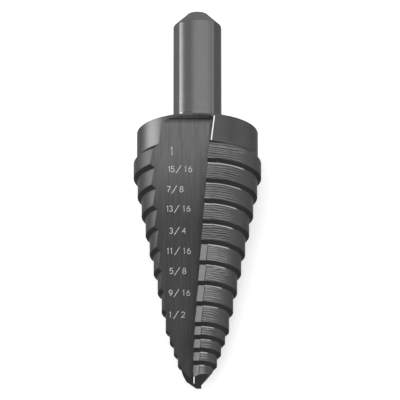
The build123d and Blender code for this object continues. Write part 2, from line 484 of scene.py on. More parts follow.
def shank_rings(rows, first_turns, sizes):
    """Rings of the shank: a circle cut by three flats, whose radius is the flat's distance over the
    cosine of the turn from its middle. Columns are spread so that one falls on each edge of a flat.
    The rows of the end face go from the collar's own turns to these."""
    radius, height = rows.T
    foot = sizes.shank / 2
    half_flat = flat_half_turn(sizes)
    middles = flat_middles(sizes)
    edges = np.sort(np.concatenate([middles - half_flat, middles + half_flat]))
    knots = np.concatenate([[0], edges, [2 * pi]])
    # Columns that the closed flute brings to one place share one turn
    order = np.unique(first_turns.round(9), return_inverse=True)[1]
    distinct = order.max() + 1
    slots = np.round(knots / (2 * pi) * distinct)
    even_turns = np.interp(order, slots, knots)
    nearest = np.abs(flat_turns(even_turns, sizes)).min(0)
    flat = (foot - sizes.flat_depth) / np.cos(np.minimum(nearest, half_flat))
    spread = np.clip((sizes.collar / 2 - 2 * sizes.edge - radius) / sizes.step, 0, 1)[:, None]
    turns = between(first_turns[None], even_turns[None], spread)
    on_shank = (radius <= foot + WELD)[:, None]
    radii = np.where(on_shank, np.minimum(radius[:, None], flat[None]), radius[:, None])
    heights = np.broadcast_to(height[:, None], radii.shape)
    return np.stack([radii * np.sin(turns), -radii * np.cos(turns), heights], -1)


# What each face's surface is, in the order of the body's materials
LAND_S, MARGIN_S, LINE_S, ROOT_HIGHLIGHT_S, SHOULDER_SHADE_S, COLLAR_S, FLUTE_S, RUN_OUT_LIT_S = range(8)
EDGE_S, END_S, SHANK_S, NECK_S, FLAT_S, POINT_SHADE_S, WIDE_LAND_S = range(8, 15)
# Finish of the lands' columns and of the margin's, for rims, walls, roots, shoulders and the collar
LAND_FINISH = np.array([LAND_S, LAND_S, ROOT_HIGHLIGHT_S, SHOULDER_SHADE_S, COLLAR_S])
MARGIN_FINISH = np.array([MARGIN_S, MARGIN_S, MARGIN_S, SHOULDER_SHADE_S, COLLAR_S])
# Share of the run-out's length that has its pale finish of painted light, and how far out, as a share of its
# place where the flute is open, the collar's cutting edge still counts as one
RUN_OUT_SHARE, OPEN_SHARE = 0.75, 0.8


def lower_finish(rows, kinds, half, sizes):
    """Finish of each face of the lands and the collar, from the faces' columns and from what each stretch
    of the outline is: the flute by height, the wide lands and the smooth margins by radius."""
    column = np.repeat(list(COLUMNS), list(COLUMNS.values()))
    column = np.roll(np.tile(column, FLUTES), -1)
    before = np.roll(column, 1)
    kinds = kinds[:, None]
    radius, height = rows[1:].T[..., None]
    finish = np.where(np.isin(column, (LAND, HEEL)), LAND_FINISH[kinds], MARGIN_FINISH[kinds])
    is_smooth = radius < SMOOTH_MARGIN_RADIUS
    finish = np.where(~is_smooth & np.isin(column, (CUTTING_EDGE, MARGIN)), LAND_FINISH[kinds], finish)
    finish[is_smooth & (column == LAND) & (before == MARGIN) & (finish == LAND_S)] = LINE_S
    finish = np.where(~is_smooth & (finish == LAND_S), WIDE_LAND_S, finish)
    in_flute = np.isin(column, (FLOOR, CORNER, FACE))
    finish = np.where(in_flute, FLUTE_S, finish)
    finish[in_flute & (height > sizes.collar_end - RUN_OUT_SHARE * sizes.run_out)] = RUN_OUT_LIT_S
    edge_x = half[1:, EDGE_COLUMN, 0][:, None]
    is_open = (kinds == COLLAR) & (edge_x > OPEN_SHARE * edge_x[kinds == COLLAR][0])
    # Painted shadow: on the collar, where the flute is open, its cutting face takes the dark shoulder finish
    # as the shade in the flute's corner
    finish[is_open & (column == FACE)] = SHOULDER_SHADE_S
    # Painted highlight: the collar's cutting edge and the first strip of its margin take the near-white edge
    # finish
    finish[is_open & ((column == CUTTING_EDGE) | (column == MARGIN) & (before == CUTTING_EDGE))] = EDGE_S
    return finish


def blank_surface(sizes):
    """Every ring of the drill from below the point to the shank's end, the UV maps of each face's
    corners, and each face's surface."""
    rows, kinds = profile(sizes)
    collar = collar_rows(sizes)
    keep = rows[:, 1] < collar[0, 1] - sizes.edge
    rows, kinds = rows[keep], kinds[keep[: len(kinds)]]
    lower = np.concatenate([rows, collar])
    kinds = np.concatenate([kinds[: len(rows) - 1], np.full(len(collar), COLLAR)])
    half = half_ring(lower, sizes)
    turned = half * [-1, -1, 1]
    rings = np.concatenate([half, turned], axis=1)
    first_turns = np.arctan2(rings[-1, :, 0], -rings[-1, :, 1]) % (2 * pi)
    first_turns[np.abs(first_turns - 2 * pi) < SAME_TURN] = 0
    upper_rows = shank_rows(sizes)
    upper = shank_rings(upper_rows, first_turns, sizes)
    bottom = np.broadcast_to([0, 0, lower[0, 1]], rings[:1].shape)
    rings = np.concatenate([bottom, rings, upper])

    finish = lower_finish(lower, kinds, half, sizes)
    finish = np.concatenate([np.full((1, finish.shape[1]), POINT_SHADE_S), finish])
    middle = rings[-2] + np.roll(rings[-2], -1, axis=0)
    nearest = np.abs(flat_turns(np.arctan2(middle[:, 0], -middle[:, 1]), sizes)).min(0)
    radius, height = upper_rows.T[..., None]
    upper_finish = np.where(height > sizes.collar_end + sizes.neck, SHANK_S, NECK_S)
    upper_finish = np.where(nearest < flat_half_turn(sizes), FLAT_S, upper_finish)
    upper_finish = np.where(radius > sizes.shank / 2 + WELD, END_S, upper_finish)
    surfaces = np.concatenate([finish, upper_finish])
    outline = np.concatenate([lower[:1], lower, upper_rows])
    return rings, surface_maps(rings, outline, np.isin(surfaces, (FLUTE_S, RUN_OUT_LIT_S))), surfaces


def face_corners(grid):
    """Values of a grid's vertices at the four corners of each of its faces."""
    return np.stack([grid[:-1, :-1], grid[:-1, 1:], grid[1:, 1:], grid[1:, :-1]], 2)


def surface_maps(rings, outline, is_flute):
    """Two UV maps. In "surface", U is the way round from the cutting edge and V the way along the outline,
    or on a flute U runs across its floor and V up the drill, in millimetres. In "turn", U is the turn
    behind the cutting edge in degrees and V the height in millimetres."""
    closed = np.concatenate([rings, rings[:, :1]], axis=1)
    step = np.linalg.norm(np.diff(closed, axis=1), axis=-1)
    around = np.concatenate([np.zeros((len(rings), 1)), np.cumsum(step, axis=1)], 1)
    around = around - around[:, EDGE_COLUMN, None]
    along = np.cumsum(np.concatenate([[0], np.linalg.norm(np.diff(outline, axis=0), axis=1)]))
    along = np.broadcast_to(along[:, None], around.shape)
    turns = np.arctan2(closed[..., 0], -closed[..., 1])
    # The rounding of the edge lies a little ahead of it
    slack = radians(3)
    behind = (turns - turns[:, EDGE_COLUMN, None] + slack) % pi - slack
    wall = face_corners(np.stack([around, along], -1)) / MM
    flute = face_corners(closed[..., ::2]) / MM
    turn_map = face_corners(np.stack([np.degrees(behind), closed[..., 2] / MM], -1))
    return {"surface": np.where(is_flute[..., None, None], flute, wall), "turn": turn_map}


@contextmanager
def edited(mesh):
    """The mesh opened for edits, which are written back to it at the end."""
    work = bmesh.new()
    work.from_mesh(mesh)
    yield work
    work.to_mesh(mesh)
    work.free()


def weld(mesh, *more):
    """Adds other meshes, merges doubled vertices and drops what that leaves without an area."""
    with edited(mesh) as work:
        for part in more:
            work.from_mesh(part)
        bmesh.ops.remove_doubles(work, verts=work.verts, dist=WELD)
        bmesh.ops.dissolve_degenerate(work, edges=work.edges, dist=WELD)


def sheet_mesh(name, rings, maps, surfaces, materials):
    """A mesh of quads between neighbouring rings, closed round, with doubled vertices merged. The maps hold
    a place for each corner of each quad, and the surfaces are numbers of its materials."""
    count_rows, count = rings.shape[:2]
    index = np.arange(count_rows * count).reshape(count_rows, count)
    after = np.roll(index, -1, axis=1)
    quads = np.stack([index[:-1], after[:-1], after[1:], index[1:]], -1).reshape(-1, 4)
    mesh = bpy.data.meshes.new(name)
    mesh.from_pydata(rings.reshape(-1, 3).tolist(), [], quads.tolist())
    for layer, corners in maps.items():
        mesh.uv_layers.new(name=layer).data.foreach_set("uv", corners.astype(np.float32).ravel())
    mesh.polygons.foreach_set("material_index", surfaces.ravel().astype(np.int32))
    weld(mesh)
    for material in materials:
        mesh.materials.append(material)
    return mesh


def prism(name, outline, reach, surface):
    """A closed mesh: an outline, the same outline moved by `reach`, and a side under each of its edges."""
    outline = np.asarray(outline, float)
    count = len(outline)
    first = np.arange(count)
    sides = np.stack([first, np.roll(first, -1), np.roll(first, -1) + count, first + count], 1)
    mesh = bpy.data.meshes.new(name)
    points = np.concatenate([outline, outline + reach])
    mesh.from_pydata(points.tolist(), [], [first.tolist(), (first + count).tolist(), *sides.tolist()])
    with edited(mesh) as work:
        bmesh.ops.recalc_face_normals(work, faces=work.faces)
    mesh.polygons.foreach_set("material_index", np.full(count + 2, surface, np.int32))
    return mesh


# Where the ground tip joins the rest, and just below it where the gash ends, in steps above the first land
SEAM_STEPS, GASH_STEPS = 0.8, 0.7
# Each lip has a narrow honed land: its slope, and how deep it cuts at the lip
LIP_LAND_SLOPE = radians(3)
LIP_LAND_DEPTH = 0.09 * MM
# The chisel edge is dulled: how much is lost at its middle, and how it slopes from there
CHISEL_LOSS = 0.25 * MM
CHISEL_SLOPE = radians(17)


def point_waste(sizes):
    """Outline, reach and finish of what is ground off the point on each side: below the flank of a lip,
    below the steeper heel behind it, below the lip's honed land, below the dulled chisel edge, and the
    gash that thins the web. Flank and heel share the chisel edge."""
    out = sizes.collar
    flank = np.array([-tan(sizes.lip_relief), 1 / tan(sizes.point_angle / 2), 1.0])
    heel_way = np.array([cos(sizes.heel_turn), sin(sizes.heel_turn)])
    heel = np.array([*(-tan(sizes.heel_slope) * heel_way), 1.0])
    chisel = np.array([-flank[1], flank[0], 0.0])
    honed = np.array([-tan(LIP_LAND_SLOPE), 1 / tan(sizes.point_angle / 2), 1.0])
    honed_rise = LIP_LAND_DEPTH - (tan(sizes.lip_relief) - tan(LIP_LAND_SLOPE)) * sizes.gash_lead
    pieces = []
    # The lips' honed lands take the near-white edge finish, a painted highlight
    for normal, rise, surface in ((flank, 0.0, POINT_SHADE_S), (heel, 0.0, POINT_SHADE_S), (honed, honed_rise, EDGE_S)):
        along = unit(chisel - [0, 0, chisel @ normal])
        behind = unit(np.cross(normal, along))
        outline = [-out * along, out * along, out * (along + behind), out * (behind - along)]
        pieces.append((np.array(outline) + [0, 0, rise], np.array([0, 0, -out]), surface))
    ridge = unit(chisel)
    side = np.array([-ridge[1], ridge[0], 0.0])
    sloped = ridge + [0, 0, tan(CHISEL_SLOPE)]
    outline = out * np.array([-side - sloped, side - sloped, side + sloped, sloped - side])
    pieces.append((outline + [0, 0, CHISEL_LOSS], np.array([0, 0, -2 * out]), POINT_SHADE_S))
    below = -2 * sizes.step
    side = sizes.gash_web / 2
    top = sizes.first_top + GASH_STEPS * sizes.step
    end = side + (top - sizes.gash_height) * tan(sizes.gash_slope)
    outline = [(-out, below), (-side, below), (-side, sizes.gash_height), (-end, top), (-out, top)]
    pieces.append((np.array([(-sizes.gash_lead, y, z) for y, z in outline]), np.array([-out, 0, 0]), POINT_SHADE_S))
    ways = np.array([[1, 1, 1], [-1, -1, 1]])
    return [(outline * way, reach * way, surface) for outline, reach, surface in pieces for way in ways]


def new_object(name, mesh, collection=None):
    """An object with its data, in the scene's own collection or another."""
    made = bpy.data.objects.new(name, mesh)
    (collection or bpy.context.scene.collection).objects.link(made)
    return made


def cut_point(blank, sizes):
    """The blank's mesh less everything that is ground off its point."""
    tools = bpy.data.collections.new("point_waste")
    bpy.context.scene.collection.children.link(tools)
    for number, piece in enumerate(point_waste(sizes)):
        name = f"point_waste_{number}"
        new_object(name, prism(name, *piece), tools)
    cut = blank.modifiers.new("grind the point", "BOOLEAN")
    cut.operation = "DIFFERENCE"
    cut.solver = "EXACT"
    cut.operand_type = "COLLECTION"
    cut.collection = tools
    seen = blank.evaluated_get(bpy.context.evaluated_depsgraph_get())
    ground = bpy.data.meshes.new_from_object(seen)
    for tool in list(tools.objects):
        bpy.data.meshes.remove(tool.data)
    bpy.data.collections.remove(tools)
    bpy.data.meshes.remove(blank.data)
    return ground


def drill_mesh(sizes, materials):
    """The whole drill: its first lands, closed by a lid and ground to a point, then joined to the rest
    where the lid was."""
    rings, maps, surfaces = blank_surface(sizes)
    seam = int(np.argmax(rings[:, 0, 2] > sizes.first_top + SEAM_STEPS * sizes.step))
    lid = np.broadcast_to([0, 0, rings[seam, 0, 2]], rings[:1].shape)
    flat_row = rings[seam : seam + 1] * [1, 1, 0] + [0, 0, rings[seam, 0, 2]]
    tip_rings = np.concatenate([rings[:seam], flat_row, lid])
    rings[seam] = flat_row[0]
    tip_surfaces = np.concatenate([surfaces[:seam], surfaces[:1]])
    tip_maps = {layer: corners[: seam + 1] for layer, corners in maps.items()}
    tip = sheet_mesh("drill_tip", tip_rings, tip_maps, tip_surfaces, materials)
    tip = cut_point(new_object("drill_tip", tip), sizes)
    lid_height = lid[0, 0, 2] - WELD
    with edited(tip) as work:
        lid_faces = [face for face in work.faces if all(corner.co.z > lid_height for corner in face.verts)]
        bmesh.ops.delete(work, geom=lid_faces, context="FACES")
    rest_maps = {layer: corners[seam:] for layer, corners in maps.items()}
    mesh = sheet_mesh("step_drill_body", rings[seam:], rest_maps, surfaces[seam:], materials)
    weld(mesh, tip)
    bpy.data.meshes.remove(tip)
    points = np.empty(len(mesh.vertices) * 3)
    mesh.vertices.foreach_get("co", points)
    mesh.vertices.foreach_set("co", lay_down(points.reshape(-1, 3)).ravel())
    mesh.shade_smooth()
    mesh.set_sharp_from_angle(angle=SHARP)
    mesh.update()
    return mesh


# Turn between two points on a digit's curves, in degrees
ARC_TURN = 15


def arc(x, y, across, high, start, end):
    """Points on an oval about (x, y), from one angle to another in degrees: the cosine of the angle times
    its half width, and the sine times its half height."""
    angles = np.radians(np.linspace(start, end, int(abs(end - start) / ARC_TURN) + 1))
    return np.stack([x + across * np.cos(angles), y + high * np.sin(angles)], 1)


def digit_strokes(digit):
    """Strokes of a digit, in shares of its height, on a single line as an engraver cuts them."""
    five = [(0.56, 1.0), (0.1, 1.0), (0.06, 0.56)]
    six = np.concatenate([arc(0.62, 0.33, 0.6, 0.67, 105, 180), arc(0.31, 0.3, 0.29, 0.3, 180, 540)])
    return {
        "1": [[(0.2, 0.8), (0.36, 1.0), (0.36, 0.0)]],
        "2": [np.concatenate([arc(0.31, 0.7, 0.28, 0.3, 165, -35), [(0.02, 0.0), (0.6, 0.0)]])],
        "3": [np.concatenate([arc(0.29, 0.75, 0.26, 0.25, 150, -90), arc(0.29, 0.26, 0.3, 0.26, 75, -150)])],
        "4": [[(0.46, 0.0), (0.46, 1.0), (0.0, 0.32), (0.62, 0.32)]],
        "5": [np.concatenate([five, arc(0.28, 0.32, 0.32, 0.32, 120, -150)])],
        "6": [six],
        "7": [[(0.02, 1.0), (0.6, 1.0), (0.22, 0.0)]],
        "8": [arc(0.31, 0.76, 0.24, 0.24, -90, 270), arc(0.31, 0.26, 0.3, 0.26, 90, 450)],
        "9": [np.array([0.62, 1.0]) - six],
    }[digit]


# In shares of a digit's height: each digit's cell, the gap after it, the slash between two numbers, and
# where they end before it and start after it
DIGIT_WIDTH = 0.64
NUMERATOR_GAP, DENOMINATOR_GAP = 0.0, 0.24
SLASH = np.array([(-0.42, -0.15), (0.42, 1.14)])
BEFORE_SLASH, AFTER_SLASH = 0.66, 0.89
# Digits beside a slash: their size, and how far above the number's foot they stand
DIGIT_SIZE, DIGIT_RISE = 0.88, 0.09


def number_strokes(numerator, denominator):
    """Strokes of a fraction, in shares of a digit's height: the numerator ends before the slash, and
    the denominator starts after it. A whole number stands alone."""
    strokes = []

    def write(number, x, gap):
        for digit in str(number):
            strokes.extend(np.asarray(stroke, float) + [x, 0] for stroke in digit_strokes(digit))
            x += DIGIT_WIDTH + gap

    if denominator == 1:
        write(numerator, -DIGIT_WIDTH / 2, 0)
        return strokes
    cells = len(str(numerator))
    width = cells * DIGIT_WIDTH + (cells - 1) * NUMERATOR_GAP
    write(numerator, -BEFORE_SLASH / DIGIT_SIZE - width, NUMERATOR_GAP)
    write(denominator, AFTER_SLASH / DIGIT_SIZE, DENOMINATOR_GAP)
    return [SLASH] + [stroke * DIGIT_SIZE + [0, DIGIT_RISE] for stroke in strokes]


# Least cosine of half the turn between two runs, which keeps a mitre from growing long
MITRE_LIMIT = 0.5


def ribbon(path, width, thickness, normal):
    """Points and faces of a flat bar along a path: its section's corners are half the width to each
    side and half the thickness up and down, with the sides mitred between the runs."""
    runs = unit(np.diff(path, axis=0))
    before = np.concatenate([runs[:1], runs])
    after = np.concatenate([runs, runs[-1:]])
    middle = unit(before + after)
    side = np.cross(normal, middle)
    mitre = 1 / np.maximum((middle * after).sum(1, keepdims=True), MITRE_LIMIT)
    side, lift = side * mitre * width / 2, normal * thickness / 2
    points = np.stack([path - side - lift, path + side - lift, path + side + lift, path - side + lift], 1)
    index = np.arange(len(path) * 4).reshape(-1, 4)
    after_index = np.roll(index, -1, axis=1)
    sides = np.stack([index[:-1], after_index[:-1], after_index[1:], index[1:]], -1).reshape(-1, 4)
    ends = np.stack([index[0, ::-1], index[-1]])
    return points.reshape(-1, 3), np.concatenate([sides, ends])


# First land that carries a number, and for each from there up how far its slash lies off the axis and
# how far the number stands above its usual place
FIRST_NUMBERED = 4
SLASH_OFFSETS = np.array([4.21, 4.11, 3.97, 3.99, 4.03, 4.06, 4.53, 3.73, 5.05]) * MM
NUMBER_RISES = np.array([-0.15, 0.03, 0.25, 0.1, 0.0, 0.25, 0.0, -0.13, 0.0]) * MM
# The whole number's size against the others', and how much of each hangs below its land's top
WHOLE_SIZE = 1.4
WHOLE_DROP, DROP = 0.85, 0.5
ETCH_THICKNESS = 0.04 * MM


def numbers_mesh(sizes):
    """The diameter of each large land, as a fraction of an inch, on the first flute's floor beside the
    land's top. Each stroke is a thin bar whose middle follows the floor's curve."""
    tops = land_corners(sizes)[1:-1:2, 1]
    points, faces, count = [], [], 0
    for land, offset, rise in zip(range(FIRST_NUMBERED, sizes.lands), SLASH_OFFSETS, NUMBER_RISES):
        sixteenths = round((sizes.smallest + land * sizes.step) / (INCH / INCH_PARTS * MM))
        share = np.gcd(sixteenths, INCH_PARTS)
        whole = sixteenths == INCH_PARTS
        height = sizes.number_height * (WHOLE_SIZE if whole else 1)
        foot = tops[land] + rise - height * (WHOLE_DROP if whole else DROP)
        for stroke in number_strokes(sixteenths // share, INCH_PARTS // share):
            flat = stroke * height + [-offset, foot]
            depth = floor_depth(flat[:, 1], sizes)
            path = np.stack([flat[:, 0], -depth, flat[:, 1]], 1)
            normal = np.array([0, -cos(sizes.floor_slope), -sin(sizes.floor_slope)])
            bar, bar_faces = ribbon(path, sizes.number_stroke, ETCH_THICKNESS, normal)
            points.append(bar)
            faces.append(bar_faces + count)
            count += len(bar)
    mesh = bpy.data.meshes.new("size_numbers")
    mesh.from_pydata(lay_down(np.concatenate(points)).tolist(), [], np.concatenate(faces).tolist())
    mesh.update()
    return mesh


def add_node(tree, kind, inputs=(), **settings):
    """Adds a node, sets its own values, sets or links each input by name or number, and gives its outputs."""
    node = tree.nodes.new(kind)
    for key, value in settings.items():
        setattr(node, key, value)
    for key, value in dict(inputs).items():
        if isinstance(value, bpy.types.NodeSocket):
            tree.links.new(value, node.inputs[key])
        else:
            node.inputs[key].default_value = value
    return node.outputs


def surface_shader(tree, inputs):
    """Adds the material's shader with these inputs, linked to its output."""
    shader = add_node(tree, "ShaderNodeBsdfPrincipled", inputs)[0]
    add_node(tree, "ShaderNodeOutputMaterial", {"Surface": shader})


def empty_material(name):
    """A material without nodes, and its node tree."""
    material = bpy.data.materials.new(name)
    material.use_nodes = True
    material.node_tree.nodes.clear()
    return material, material.node_tree


def falling_share(tree, layer, axis, start, end, wander, reach):
    """Share that falls smoothly from one to nothing between two places on an axis of a UV map, which the
    noise in `wander` moves by up to half of `reach` either way."""
    place = add_node(tree, "ShaderNodeUVMap", uv_map=layer)["UV"]
    along = add_node(tree, "ShaderNodeSeparateXYZ", {"Vector": place})[axis]
    moved = {0: wander, 1: reach, 2: along}
    along = add_node(tree, "ShaderNodeMath", moved, operation="MULTIPLY_ADD")[0]
    start, end = start + reach / 2, end + reach / 2
    ends = {"Value": along, "From Min": start, "From Max": end, "To Min": 1.0, "To Max": 0.0}
    return add_node(tree, "ShaderNodeMapRange", ends, interpolation_type="SMOOTHSTEP")[0]


WHITE = (1.0, 1.0, 1.0, 1.0)
# Oxide soaks up what bare steel would mirror at a grazing view
EDGE_TINT = (0.45, 0.45, 0.45, 1.0)
# Noise of the marks: its detail in the lines and in the bands, how often a band comes against a line across
# and along, and the noise's own roughness
LINE_DETAIL, BAND_DETAIL = 3.0, 1.0
BAND_RATE = (0.6, 0.22)
NOISE_ROUGHNESS = 0.6
# How much of the noise's range the bands use either way of its middle, and their share in the tint
BAND_RANGE, BAND_SHARE = 0.2, 0.3
# How far, in radians of the sine, the noise bends the lines that a grinding wheel's feed leaves
FEED_WANDER = 14.0


def steel(
    colours, name, light, dark, marks, contrast, roughness, relief,
    zone=None, beyond=None, ragged=0.0, grain=0.1, feed=0.0,
):
    """Metal with marks that run one way over the surface: noise drawn out along the marks, fine lines
    over broad bands, turns the colour from dark to light, and raises the surface by `relief` millimetres.
    `marks` is the number of marks in a millimetre across and along the UV map. A zone, given as UV
    layer, axis, start and end, is where the marks are; past its ragged end the colour is `beyond`. The
    grain is the share by which the marks darken both. With a feed, that many even lines a millimetre
    take the place of the fine noise, a sine of the height that the noise shifts."""
    light, dark, beyond = (tuple(getattr(colours, tint)) for tint in (light, dark, beyond or light))
    material, tree = empty_material(name)
    place = add_node(tree, "ShaderNodeUVMap", uv_map="surface")["UV"]
    noises = []
    for rate, detail in (((1, 1), LINE_DETAIL), (BAND_RATE, BAND_DETAIL)):
        scale = (marks[0] * rate[0], marks[1] * rate[1], 1.0)
        spread = add_node(tree, "ShaderNodeMapping", {"Vector": place, "Scale": scale})[0]
        inputs = {"Vector": spread, "Scale": 1.0, "Detail": detail, "Roughness": NOISE_ROUGHNESS}
        noises.append(add_node(tree, "ShaderNodeTexNoise", inputs, noise_dimensions="2D")["Fac"])
    lines, bands = noises
    if feed:
        height = add_node(tree, "ShaderNodeSeparateXYZ", {"Vector": place})["Y"]
        shift = add_node(tree, "ShaderNodeMath", {0: lines, 1: FEED_WANDER}, operation="MULTIPLY")[0]
        phase = {0: height, 1: 2 * pi * feed, 2: shift}
        phase = add_node(tree, "ShaderNodeMath", phase, operation="MULTIPLY_ADD")[0]
        wave = add_node(tree, "ShaderNodeMath", {0: phase}, operation="SINE")[0]
        lines = add_node(tree, "ShaderNodeMath", {0: wave, 1: 0.5, 2: 0.5}, operation="MULTIPLY_ADD")[0]
    stretched = []
    for noise, reach in ((lines, 0.5 / contrast), (bands, BAND_RANGE)):
        ends = {"Value": noise, "From Min": 0.5 - reach, "From Max": 0.5 + reach}
        stretched.append(add_node(tree, "ShaderNodeMapRange", ends)[0])
    inputs = {"Factor": BAND_SHARE, 2: stretched[0], 3: stretched[1]}
    share = add_node(tree, "ShaderNodeMix", inputs, data_type="FLOAT")[0]
    tint = add_node(tree, "ShaderNodeMix", {"Factor": share, 6: dark, 7: light}, data_type="RGBA")[2]
    height = share
    if zone:
        inside = falling_share(tree, *zone, noises[0], ragged)
        tint = add_node(tree, "ShaderNodeMix", {"Factor": inside, 6: beyond, 7: tint}, data_type="RGBA")[2]
        height = add_node(tree, "ShaderNodeMath", {0: share, 1: inside}, operation="MULTIPLY")[0]
    shade = (1 - grain, 1 - grain, 1 - grain, 1.0)
    shade = add_node(tree, "ShaderNodeMix", {"Factor": share, 6: shade, 7: WHITE}, data_type="RGBA")[2]
    inputs = {"Factor": 1.0, 6: tint, 7: shade}
    tint = add_node(tree, "ShaderNodeMix", inputs, data_type="RGBA", blend_type="MULTIPLY")[2]
    inputs = {"Height": height, "Distance": relief * MM, "Strength": 1.0}
    bump = add_node(tree, "ShaderNodeBump", inputs)[0]
    inputs = {"Base Color": tint, "Roughness": roughness, "Specular Tint": EDGE_TINT, "Normal": bump}
    surface_shader(tree, {**inputs, "Metallic": 1.0})
    return material


# Zones by the turn behind the cutting edge in degrees, where the grinding fades into oxide painted darker as
# shade on narrow and on wide lands, the painted root highlight ends and the collar's painted highlight
# begins, and by height, where the flute's floor turns lighter, partly as painted light
GRINDING_AND_SHADE_ZONE = ("turn", "X", 30.0, 52.0)
WIDE_GRINDING_AND_SHADE_ZONE = ("turn", "X", 24.0, 43.0)
ROOT_HIGHLIGHT_ZONE = ("turn", "X", 37.0, 44.0)
COLLAR_HIGHLIGHT_ZONE = ("turn", "X", 92.0, 118.0)
FLOOR_SHADE_ZONE = ("surface", "Y", 31.0, 50.0)

# Finish of each surface, in the order of their numbers: name, colours on and between the marks, marks in a
# millimetre across and along, contrast, roughness and relief in millimetres, then what only some have. Real
# marks of a fine wheel or cutter are under 0.1 mm apart, too fine for the picture, and are drawn coarser.
FINISHES = (
    # Tool steel ground by a wheel fed along it: even bright lines round it, which fade into smooth oxide; the
    # lighter tone near the cutting edge and the darker one past the fade are also painted light and shade
    ("ground_land_steel", "land", "groove", (0.12, 0.5), 1.4, 0.4, 0.012,
        {"zone": GRINDING_AND_SHADE_ZONE, "beyond": "oxide", "ragged": 14.0, "feed": 2.1}),
    # Margin finished once more by itself: plain grey with hardly a line
    ("ground_margin_steel", "margin", "margin", (0.05, 2.3), 1.5, 0.4, 0.002, {"grain": 0.25}),
    # Foot of the step behind the margin: a thin dark line
    ("step_line_steel", "wide_groove", "shoulder", (0.05, 2.0), 1.2, 0.5, 0.001, {}),
    # Painted highlight: a thin bright line under each shoulder, on the fillet that the wheel's corner cut,
    # which fades where the light ends
    ("ground_root_steel", "root", "land", (0.04, 2.0), 1.2, 0.36, 0.001,
        {"zone": ROOT_HIGHLIGHT_ZONE, "beyond": "oxide", "ragged": 8.0}),
    # Shoulders: dark and matt, painted shade where they face away from the light
    ("oxide_shoulder_steel", "shoulder", "shoulder", (0.1, 3.0), 1.5, 0.5, 0.004, {}),
    # Collar left as hardened: dark satin oxide, with a painted highlight that turns it lighter beside the
    # heel
    ("oxide_collar_steel", "oxide", "oxide", (0.2, 0.8), 1.5, 0.36, 0.001,
        {"zone": COLLAR_HIGHLIGHT_ZONE, "beyond": "heel", "grain": 0.16}),
    # Milled along the flute and oxidised: faint long streaks, darker toward the point, partly its own tone
    # and partly painted shade
    ("milled_flute_steel", "flute_tip", "flute_tip", (2.4, 0.15), 3.0, 0.42, 0.002,
        {"zone": FLOOR_SHADE_ZONE, "beyond": "flute", "grain": 0.28}),
    # Where the milling cutter left the collar: the same streaks in a pale band, painted light on a wall that
    # faces away from the lamps
    ("milled_run_out_steel", "run_out", "run_out", (2.2, 0.05), 2.5, 0.42, 0.002, {"grain": 0.3}),
    # Edges and lips: bright near-white steel, a painted highlight
    ("bright_edge_steel", "edge", "edge", (0.3, 0.3), 1.5, 0.3, 0.001, {}),
    # End of the collar, faced on a lathe: rings round the shank
    ("turned_end_steel", "flute", "oxide", (0.02, 4.0), 2.0, 0.4, 0.004, {}),
    # Turned and polished shank: a soft shine that runs along it
    ("turned_shank_steel", "shank", "shank", (0.25, 2.0), 1.5, 0.34, 0.001, {}),
    # Neck that the collar's facing tool burnished: the same grey with a sharper shine
    ("burnished_neck_steel", "shank", "shank", (0.2, 1.0), 1.5, 0.2, 0.001, {}),
    # Milled flats: flat dark bands beside the shine
    ("milled_flat_steel", "flat", "flat", (0.6, 0.3), 1.2, 0.4, 0.001, {"grain": 0.15}),
    # Flanks and gashes of the point: dark and slightly mottled, painted shade
    ("ground_point_steel", "shoulder", "shoulder", (1.5, 1.5), 3.0, 0.5, 0.01, {}),
    # The wide lands: the same lines as the others in a darker steel, with the same painted light and shade
    # across the fade
    ("ground_wide_land_steel", "wide_land", "wide_groove", (0.12, 0.5), 1.4, 0.4, 0.012,
        {"zone": WIDE_GRINDING_AND_SHADE_ZONE, "beyond": "oxide", "ragged": 14.0, "feed": 2.1}),
)


def drill_materials(colours):
    """The body's materials, in the order of its surfaces."""
    return [steel(colours, *finish, **more) for *finish, more in FINISHES]


# Mottling of the etched numbers: noise cells in a metre, so 0.17 mm each, and the share of the tint that is
# left where they are worn
MOTTLING = 6000.0
WORN_SHARE = 0.6


def number_material(colours):
    """Laser etching: a pale matt film of oxide, mottled by the grain of the steel under it."""
    material, tree = empty_material("etched_number")
    place = add_node(tree, "ShaderNodeTexCoord")["Object"]
    noise = add_node(tree, "ShaderNodeTexNoise", {"Vector": place, "Scale": MOTTLING, "Detail": 2.0})["Fac"]
    number = tuple(colours.number)
    worn = tuple(channel * WORN_SHARE for channel in number[:3]) + (1.0,)
    tint = add_node(tree, "ShaderNodeMix", {"Factor": noise, 6: worn, 7: number}, data_type="RGBA")[2]
    surface_shader(tree, {"Base Color": tint, "Roughness": 0.6})
    return material


# Glow of the paper in the camera's view, which lifts it to white where no shadow falls
FLOOR_LIFT = 0.5


def floor_material(colours):
    """Seamless paper: matt, and lifted to white only for what the camera, gloss and glass see."""
    material, tree = empty_material("white_paper")
    rays = add_node(tree, "ShaderNodeLightPath")
    seen = rays["Is Camera Ray"]
    for other in ("Is Glossy Ray", "Is Transmission Ray"):
        seen = add_node(tree, "ShaderNodeMath", {0: seen, 1: rays[other]}, operation="MAXIMUM")[0]
    lift = add_node(tree, "ShaderNodeMath", {0: seen, 1: FLOOR_LIFT}, operation="MULTIPLY")[0]
    inputs = {"Base Color": tuple(colours.floor), "Roughness": 0.9, "Specular IOR Level": 0.0}
    surface_shader(tree, {**inputs, "Emission Color": WHITE, "Emission Strength": lift})
    return material


# The view: how far below square to the drill's axis the camera looks, the place in the picture's middle as
# right and up from the point, the picture's width in pixels and its pixels in a millimetre, and the lens
VIEW_TILT = radians(20)
LOOK_RIGHT, LOOK_UP = 0.51 * MM, 37.17 * MM
PICTURE_WIDTH, PICTURE_SCALE = 400, 5.075
LENS, SENSOR = 1200.0, 36.0
# Nearest and furthest that the camera sees, in times its distance
CLIP_NEAR, CLIP_FAR = 1 / 50, 5


